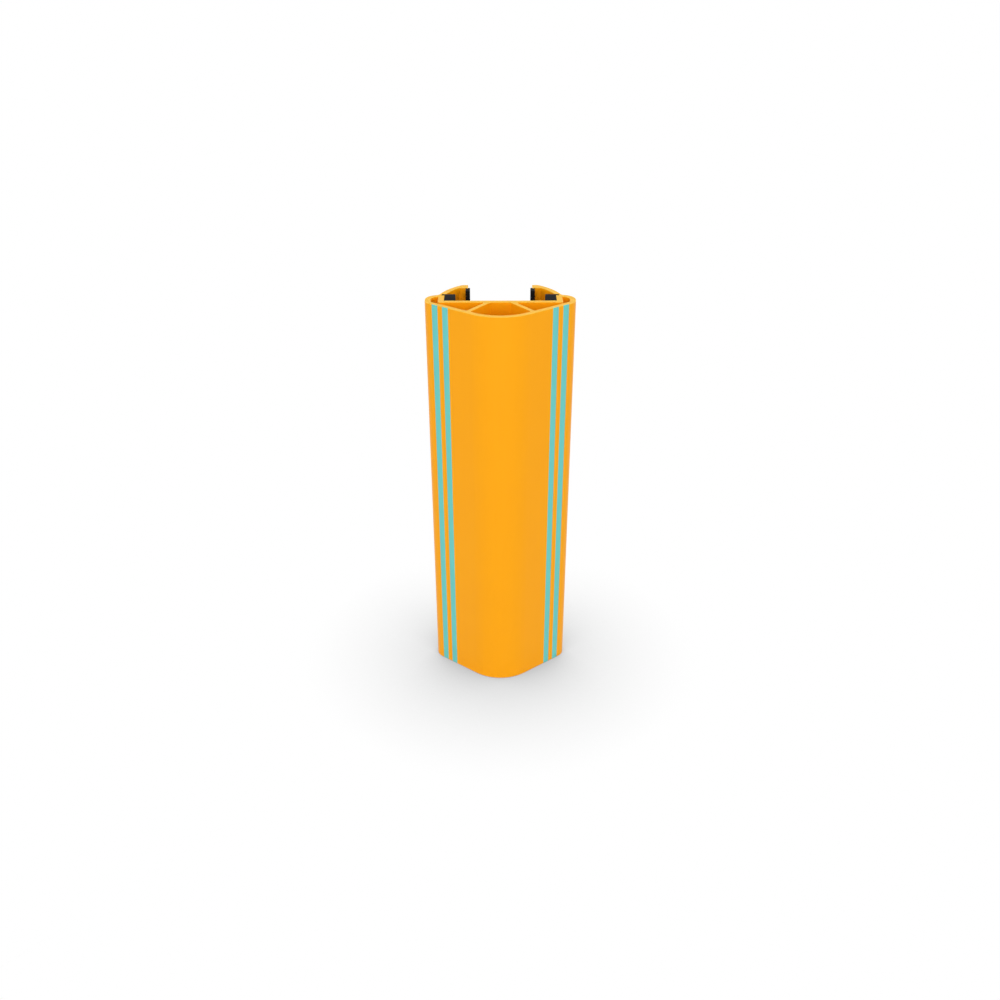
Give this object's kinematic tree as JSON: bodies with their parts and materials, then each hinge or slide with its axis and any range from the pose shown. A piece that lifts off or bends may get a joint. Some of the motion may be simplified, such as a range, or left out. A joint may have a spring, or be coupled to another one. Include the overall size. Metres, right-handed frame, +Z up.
{
  "type": "rack upright protector",
  "caption": "Extruded plastic guard with a rounded hollow nose, flush flank stripes and springy clip arms whose rubber grips hold it on the front of a pallet rack upright.",
  "frame": {"origin": "middle of the foot: the centre of the outline seen from above, on the floor", "axes": "+Z up along the extrusion, -Y out of the nose towards the aisle, +Y along the clip arms towards the rack, +X to the right seen from the aisle"},
  "size_m": [0.206, 0.1399, 0.6],
  "materials": {
    "guard_plastic": "satin orange-yellow extruded plastic",
    "stripe_plastic": "satin turquoise plastic",
    "grip_rubber": "matt black rubber"
  },
  "bodies": {
    "guard": {"protector_body": "guard_plastic", "stripe_left_outer": "stripe_plastic", "stripe_left_inner": "stripe_plastic", "stripe_right_inner": "stripe_plastic", "stripe_right_outer": "stripe_plastic"},
    "front_grip_left": {"front_grip_left": "grip_rubber"},
    "front_grip_right": {"front_grip_right": "grip_rubber"},
    "tip_grip_left": {"tip_grip_left": "grip_rubber"},
    "tip_grip_right": {"tip_grip_right": "grip_rubber"}
  },
  "joints": [
    {"name": "front_grip_left_slide", "type": "slide", "parent": "guard", "child": "front_grip_left", "axis": [0, 0, 1], "range_m": [0, 0.55]},
    {"name": "front_grip_right_slide", "type": "slide", "parent": "guard", "child": "front_grip_right", "axis": [0, 0, 1], "range_m": [0, 0.55]},
    {"name": "tip_grip_left_slide", "type": "slide", "parent": "guard", "child": "tip_grip_left", "axis": [0, 0, 1], "range_m": [0, 0.55]},
    {"name": "tip_grip_right_slide", "type": "slide", "parent": "guard", "child": "tip_grip_right", "axis": [0, 0, 1], "range_m": [0, 0.55]}
  ]
}
